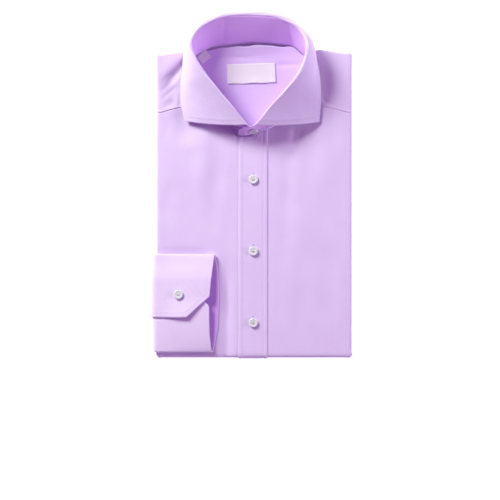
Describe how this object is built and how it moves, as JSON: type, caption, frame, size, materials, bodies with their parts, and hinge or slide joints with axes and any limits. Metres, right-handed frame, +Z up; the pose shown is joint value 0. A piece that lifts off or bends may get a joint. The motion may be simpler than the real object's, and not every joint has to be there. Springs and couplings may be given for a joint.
{
  "type": "folded dress shirt",
  "caption": "Long sleeve dress shirt, buttoned and folded flat face up, with a standing cutaway collar and one buttoned cuff turned over its front.",
  "frame": {"origin": "middle of the outline seen from above, on the surface the shirt lies on", "axes": "+X towards the wearer's left side, +Y towards the collar, +Z up, out of the shirt's front"},
  "size_m": [0.2425, 0.4143, 0.054],
  "materials": {
    "shirting": "fine lilac cotton twill",
    "label": "bare off-white satin weave",
    "tab": "bare greyish pink woven tape",
    "button": "pearly white, polished"
  },
  "bodies": {
    "root": {"right_front": "shirting", "left_front": "shirting", "front_placket": "shirting", "front_button_1": "button", "front_button_2": "button", "front_button_3": "button", "collar_button": "button", "yoke": "shirting", "collar_stand": "shirting", "collar_leaf": "shirting", "neck_label": "label", "size_tab": "tab", "right_cuff": "shirting", "cuff_button": "button", "right_sleeve": "shirting", "folded_layers": "shirting"}
  },
  "joints": []
}
